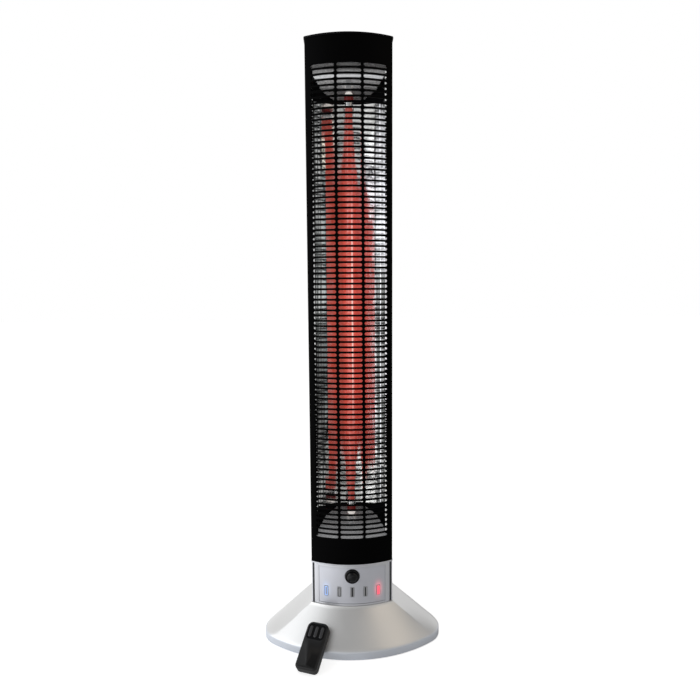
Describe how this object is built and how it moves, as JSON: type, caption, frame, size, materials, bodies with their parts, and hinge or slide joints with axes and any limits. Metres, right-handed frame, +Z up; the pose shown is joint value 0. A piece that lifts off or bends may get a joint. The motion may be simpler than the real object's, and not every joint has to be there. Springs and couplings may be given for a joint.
{
  "type": "infrared patio heater tower",
  "caption": "Slim free-standing infrared heater tower: slotted black column over a glowing lamp, silver key panel, silver lens-shaped base and a small black handset.",
  "frame": {"origin": "on the floor, at the middle of the outline's width and depth with the handset included", "axes": "+Z up the column, the grille and keys face -Y, +X to the right of someone who looks at the front"},
  "size_m": [0.33, 0.257, 1.078],
  "materials": {
    "satin_black": "satin black powder coat",
    "silver_metal": "silver paint",
    "silver_plastic": "silver painted plastic",
    "fascia_silver": "satin silver plastic",
    "zinc_steel": "zinc plated steel",
    "reflector_aluminium": "polished aluminium",
    "quartz": "clear quartz",
    "carbon": "glowing carbon",
    "ceramic": "white ceramic",
    "gloss_black": "gloss black",
    "matt_black": "matt black plastic",
    "board_green": "circuit board",
    "key_grey": "satin grey plastic",
    "led_blue": "lit blue lens",
    "led_red": "lit red lens",
    "rubber": "black rubber",
    "silicone": "silicone rubber",
    "battery_steel": "printed steel can"
  },
  "bodies": {
    "tower": {"front_grille": "satin_black", "rear_housing": "satin_black", "top_cap": "satin_black", "top_bulkhead": "zinc_steel", "bottom_bulkhead": "zinc_steel", "trim_ring": "silver_metal", "reflector": "reflector_aluminium", "upper_end_plate": "reflector_aluminium", "lower_end_plate": "reflector_aluminium", "upper_reflector_bracket": "zinc_steel", "lower_reflector_bracket": "zinc_steel", "quartz_tube": "quartz", "carbon_filament": "carbon", "upper_lamp_cap": "ceramic", "lower_lamp_cap": "ceramic", "upper_lamp_seat": "zinc_steel", "lower_lamp_seat": "zinc_steel", "upper_lamp_lead": "silicone", "lower_lamp_lead": "silicone", "thermal_cutout": "matt_black", "control_housing": "silver_plastic", "control_fascia": "fascia_silver", "sensor_dome": "gloss_black", "control_board": "board_green", "infrared_receiver": "matt_black", "blue_led": "led_blue", "red_led": "led_red", "power_board": "board_green", "relay": "matt_black", "terminal_block": "ceramic", "cord_inlet": "rubber", "support_frame": "zinc_steel", "frame_bolt_left": "zinc_steel", "frame_bolt_right": "zinc_steel", "base_skirt": "silver_plastic", "base_plate": "zinc_steel", "tip_switch": "matt_black", "foot_front_left": "rubber", "base_screw_front_left": "zinc_steel", "foot_front_right": "rubber", "base_screw_front_right": "zinc_steel", "foot_rear_left": "rubber", "base_screw_rear_left": "zinc_steel", "foot_rear_right": "rubber", "base_screw_rear_right": "zinc_steel"},
    "power_key_body": {"power_key": "key_grey"},
    "timer_key_body": {"timer_key": "key_grey"},
    "lower_key_body": {"lower_key": "key_grey"},
    "raise_key_body": {"raise_key": "key_grey"},
    "heat_key_body": {"heat_key": "key_grey"},
    "tip_plunger_body": {"tip_plunger": "matt_black"},
    "handset": {"handset_front": "matt_black", "handset_back": "matt_black", "handset_battery_door": "matt_black", "handset_battery_left": "battery_steel", "handset_battery_right": "battery_steel", "handset_board": "board_green"},
    "handset_key_left_body": {"handset_key_left": "gloss_black"},
    "handset_key_middle_body": {"handset_key_middle": "gloss_black"},
    "handset_key_right_body": {"handset_key_right": "gloss_black"}
  },
  "joints": [
    {"name": "power_key_press", "type": "slide", "parent": "tower", "child": "power_key_body", "axis": [0, 1, 0], "range_m": [0, 0.0008], "stiffness_N_per_m": 400},
    {"name": "timer_key_press", "type": "slide", "parent": "tower", "child": "timer_key_body", "axis": [0, 1, 0], "range_m": [0, 0.0008], "stiffness_N_per_m": 400},
    {"name": "lower_key_press", "type": "slide", "parent": "tower", "child": "lower_key_body", "axis": [0, 1, 0], "range_m": [0, 0.0008], "stiffness_N_per_m": 400},
    {"name": "raise_key_press", "type": "slide", "parent": "tower", "child": "raise_key_body", "axis": [0, 1, 0], "range_m": [0, 0.0008], "stiffness_N_per_m": 400},
    {"name": "heat_key_press", "type": "slide", "parent": "tower", "child": "heat_key_body", "axis": [0, 1, 0], "range_m": [0, 0.0008], "stiffness_N_per_m": 400},
    {"name": "tip_plunger_drop", "type": "slide", "parent": "tower", "child": "tip_plunger_body", "axis": [0, 0, -1], "range_m": [0, 0.004], "stiffness_N_per_m": 60, "springref_m": 0.004},
    {"name": "handset_lift_off", "type": "slide", "parent": "tower", "child": "handset", "axis": [0, -0.7071, 0.7071], "range_m": [0, 0.15]},
    {"name": "handset_key_left_press", "type": "slide", "parent": "handset", "child": "handset_key_left_body", "axis": [0.1888, 0.5187, -0.8339], "range_m": [0, 0.0005], "stiffness_N_per_m": 400},
    {"name": "handset_key_middle_press", "type": "slide", "parent": "handset", "child": "handset_key_middle_body", "axis": [0.1888, 0.5187, -0.8339], "range_m": [0, 0.0005], "stiffness_N_per_m": 400},
    {"name": "handset_key_right_press", "type": "slide", "parent": "handset", "child": "handset_key_right_body", "axis": [0.1888, 0.5187, -0.8339], "range_m": [0, 0.0005], "stiffness_N_per_m": 400}
  ]
}
